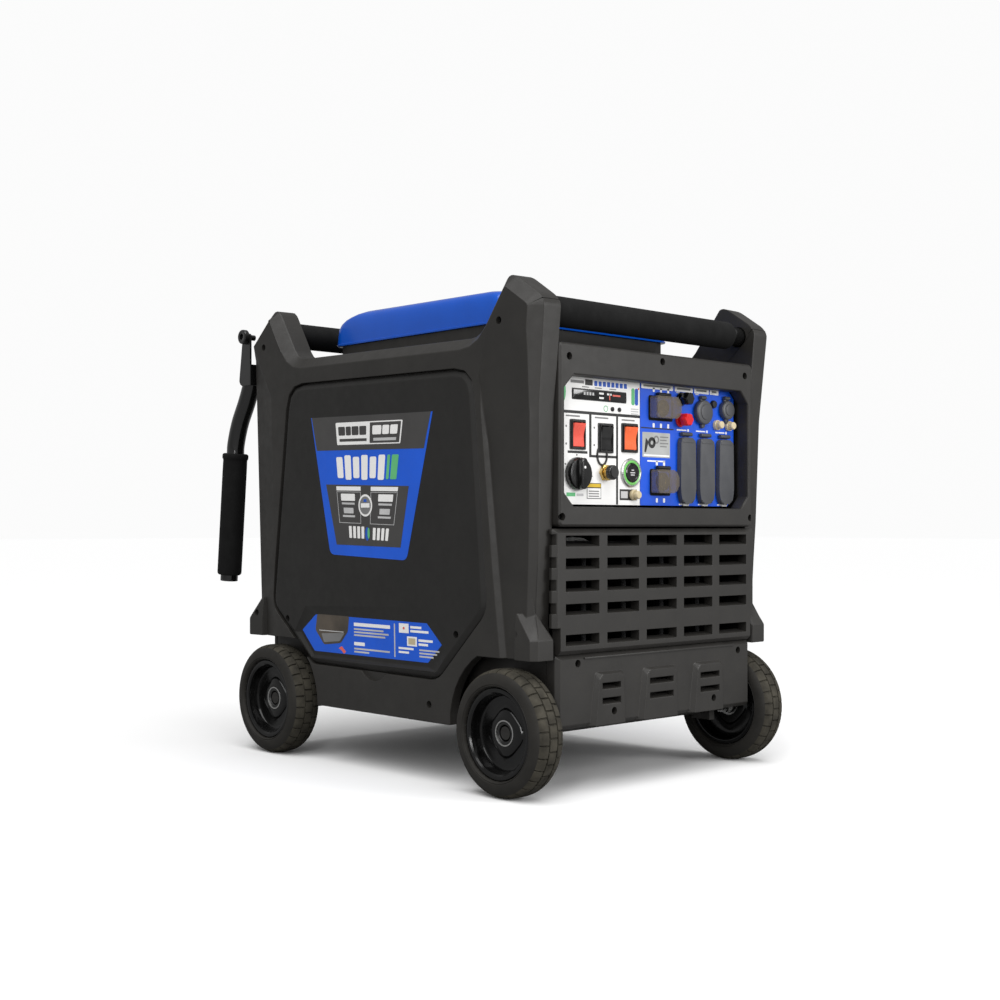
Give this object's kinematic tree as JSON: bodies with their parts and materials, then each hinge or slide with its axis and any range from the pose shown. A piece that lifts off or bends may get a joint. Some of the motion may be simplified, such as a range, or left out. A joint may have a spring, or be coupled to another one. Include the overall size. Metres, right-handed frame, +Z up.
{
  "type": "portable generator",
  "caption": "Portable inverter generator on four wheels, with a recessed control panel, side covers, a blue tank, lifting grips and two swing-out tow handles.",
  "frame": {"origin": "centre of the bounding box, on the floor", "axes": "+X towards the control panel end, +Y towards the right side cover, +Z up"},
  "size_m": [0.7046, 0.466, 0.6239],
  "materials": {
    "moulded_charcoal": "fine grained moulding",
    "cover_black": "fine grained moulding",
    "foam": "closed-cell foam",
    "gloss_black": "gloss",
    "rim_black": "gloss",
    "tyre": "block tread",
    "tank_blue": "gloss",
    "plate_white": "printed",
    "plate_blue": "printed",
    "steel": "machined",
    "cast_alloy": "as cast",
    "cover_grey": "satin",
    "smoked_clear": "smoked clear plastic",
    "red": "gloss",
    "orange": "gloss",
    "cream": "gloss",
    "brass": "machined"
  },
  "bodies": {
    "root": {"side_frame_left": "moulded_charcoal", "side_frame_right": "moulded_charcoal", "side_cover_left": "cover_black", "side_cover_right": "cover_black", "control_bezel": "moulded_charcoal", "louver_grille": "moulded_charcoal", "lower_vent_cover": "moulded_charcoal", "engine_faceplate": "plate_white", "outlet_faceplate": "plate_blue", "gas_inlet": "brass", "rear_panel": "moulded_charcoal", "base_pan": "moulded_charcoal", "top_deck": "moulded_charcoal", "fuel_tank_upper": "tank_blue", "fuel_tank_lower": "tank_blue", "front_grip": "foam", "rear_grip": "foam", "front_axle": "steel", "rear_axle": "steel", "handle_bracket": "gloss_black", "engine_block": "cast_alloy", "alternator_stator": "steel", "muffler": "steel", "air_cleaner": "cover_black", "inverter_module": "cast_alloy", "battery": "cover_black"},
    "front_wheel_left": {"front_tyre_left": "tyre", "front_rim_left": "rim_black"},
    "front_wheel_right": {"front_tyre_right": "tyre", "front_rim_right": "rim_black"},
    "rear_wheel_left": {"rear_tyre_left": "tyre", "rear_rim_left": "rim_black"},
    "rear_wheel_right": {"rear_tyre_right": "tyre", "rear_rim_right": "rim_black"},
    "tow_handle_left": {"handle_arm_left": "gloss_black", "handle_grip_left": "foam"},
    "tow_handle_right": {"handle_arm_right": "gloss_black", "handle_grip_right": "foam"},
    "lock_knob_left": {"handle_lock_knob_left": "gloss_black"},
    "lock_knob_right": {"handle_lock_knob_right": "gloss_black"},
    "fuel_cap": {"fuel_cap": "gloss_black"},
    "engine_switch": {"engine_switch": "red"},
    "battery_switch": {"battery_switch": "gloss_black"},
    "economy_switch": {"economy_switch": "orange"},
    "selector_knob": {"selector_knob": "gloss_black"},
    "start_button": {"start_button": "gloss_black"},
    "locking_outlet_cover_upper": {"locking_outlet_cover_upper": "smoked_clear"},
    "locking_outlet_cover_lower": {"locking_outlet_cover_lower": "smoked_clear"},
    "duplex_cover_1": {"duplex_cover_1": "cover_grey"},
    "duplex_cover_2": {"duplex_cover_2": "cover_grey"},
    "duplex_cover_3": {"duplex_cover_3": "cover_grey"},
    "dc_socket_cap": {"dc_socket_cap": "cover_grey"},
    "usb_socket_cap": {"usb_socket_cap": "cover_grey"},
    "terminal_red": {"terminal_red": "red"},
    "terminal_black": {"terminal_black": "gloss_black"},
    "gas_inlet_cap": {"gas_inlet_cap": "gloss_black"},
    "breaker_button_1": {"breaker_button_1": "cream"},
    "breaker_button_2": {"breaker_button_2": "cream"},
    "breaker_button_3": {"breaker_button_3": "cream"},
    "crankshaft_rotor": {"crankshaft_rotor": "steel"}
  },
  "joints": [
    {"name": "front_wheel_left_spin", "type": "hinge", "parent": "root", "child": "front_wheel_left", "pos_m": [0.27631, -0.2105, 0.076], "axis": [0, 1, 0], "continuous": true},
    {"name": "front_wheel_right_spin", "type": "hinge", "parent": "root", "child": "front_wheel_right", "pos_m": [0.27631, 0.2105, 0.076], "axis": [0, 1, 0], "continuous": true},
    {"name": "rear_wheel_left_spin", "type": "hinge", "parent": "root", "child": "rear_wheel_left", "pos_m": [-0.19909, -0.2105, 0.076], "axis": [0, 1, 0], "continuous": true},
    {"name": "rear_wheel_right_spin", "type": "hinge", "parent": "root", "child": "rear_wheel_right", "pos_m": [-0.19909, 0.2105, 0.076], "axis": [0, 1, 0], "continuous": true},
    {"name": "tow_handle_left_swing", "type": "hinge", "parent": "root", "child": "tow_handle_left", "pos_m": [-0.27139, -0.205, 0.536], "axis": [0, 1, 0], "range_deg": [0, 95]},
    {"name": "tow_handle_right_swing", "type": "hinge", "parent": "root", "child": "tow_handle_right", "pos_m": [-0.27139, 0.205, 0.536], "axis": [0, 1, 0], "range_deg": [0, 95]},
    {"name": "lock_knob_left_pull", "type": "slide", "parent": "root", "child": "lock_knob_left", "axis": [0, -1, 0], "range_m": [0, 0.008], "stiffness_N_per_m": 400},
    {"name": "lock_knob_right_pull", "type": "slide", "parent": "root", "child": "lock_knob_right", "axis": [0, 1, 0], "range_m": [0, 0.008], "stiffness_N_per_m": 400},
    {"name": "fuel_cap_twist", "type": "hinge", "parent": "root", "child": "fuel_cap", "pos_m": [0.09861, 0, 0.596], "axis": [0, 0, 1], "range_deg": [0, 90]},
    {"name": "engine_switch_rock", "type": "hinge", "parent": "root", "child": "engine_switch", "pos_m": [0.31411, -0.1325, 0.4285], "axis": [0, 1, 0], "range_deg": [-18, 0]},
    {"name": "battery_switch_rock", "type": "hinge", "parent": "root", "child": "battery_switch", "pos_m": [0.31411, -0.0835, 0.426], "axis": [0, 1, 0], "range_deg": [-18, 0]},
    {"name": "economy_switch_rock", "type": "hinge", "parent": "root", "child": "economy_switch", "pos_m": [0.31411, -0.04, 0.428], "axis": [0, 1, 0], "range_deg": [-18, 0]},
    {"name": "selector_knob_turn", "type": "hinge", "parent": "root", "child": "selector_knob", "pos_m": [0.31361, -0.1334, 0.3815], "axis": [1, 0, 0], "range_deg": [-60, 60]},
    {"name": "start_button_press", "type": "slide", "parent": "root", "child": "start_button", "axis": [-1, 0, 0], "range_m": [0, 0.003], "stiffness_N_per_m": 300},
    {"name": "locking_outlet_cover_upper_lift", "type": "hinge", "parent": "root", "child": "locking_outlet_cover_upper", "pos_m": [0.31681, 0.022, 0.4852], "axis": [0, -1, 0], "range_deg": [0, 90]},
    {"name": "locking_outlet_cover_lower_lift", "type": "hinge", "parent": "root", "child": "locking_outlet_cover_lower", "pos_m": [0.31681, 0.021, 0.3927], "axis": [0, -1, 0], "range_deg": [0, 105]},
    {"name": "duplex_cover_1_lift", "type": "hinge", "parent": "root", "child": "duplex_cover_1", "pos_m": [0.31681, 0.0665, 0.4372], "axis": [0, -1, 0], "range_deg": [0, 90]},
    {"name": "duplex_cover_2_lift", "type": "hinge", "parent": "root", "child": "duplex_cover_2", "pos_m": [0.31681, 0.105, 0.4372], "axis": [0, -1, 0], "range_deg": [0, 90]},
    {"name": "duplex_cover_3_lift", "type": "hinge", "parent": "root", "child": "duplex_cover_3", "pos_m": [0.31681, 0.145, 0.4372], "axis": [0, -1, 0], "range_deg": [0, 90]},
    {"name": "dc_socket_cap_lift", "type": "hinge", "parent": "root", "child": "dc_socket_cap", "pos_m": [0.31681, 0.1, 0.4862], "axis": [0, -1, 0], "range_deg": [0, 90]},
    {"name": "usb_socket_cap_lift", "type": "hinge", "parent": "root", "child": "usb_socket_cap", "pos_m": [0.31681, 0.149, 0.4882], "axis": [0, -1, 0], "range_deg": [0, 90]},
    {"name": "terminal_red_screw", "type": "hinge", "parent": "root", "child": "terminal_red", "pos_m": [0.31361, 0.057, 0.455], "axis": [1, 0, 0], "range_deg": [0, 360]},
    {"name": "terminal_black_screw", "type": "hinge", "parent": "root", "child": "terminal_black", "pos_m": [0.31361, 0.059, 0.482], "axis": [1, 0, 0], "range_deg": [0, 360]},
    {"name": "gas_inlet_cap_pull", "type": "slide", "parent": "root", "child": "gas_inlet_cap", "axis": [1, 0, 0], "range_m": [0, 0.02]},
    {"name": "breaker_button_1_pop", "type": "slide", "parent": "root", "child": "breaker_button_1", "axis": [1, 0, 0], "range_m": [0, 0.004]},
    {"name": "breaker_button_2_pop", "type": "slide", "parent": "root", "child": "breaker_button_2", "axis": [1, 0, 0], "range_m": [0, 0.004]},
    {"name": "breaker_button_3_pop", "type": "slide", "parent": "root", "child": "breaker_button_3", "axis": [1, 0, 0], "range_m": [0, 0.004]},
    {"name": "crankshaft_spin", "type": "hinge", "parent": "root", "child": "crankshaft_rotor", "pos_m": [0.03861, -0.01, 0.215], "axis": [1, 0, 0], "continuous": true}
  ]
}
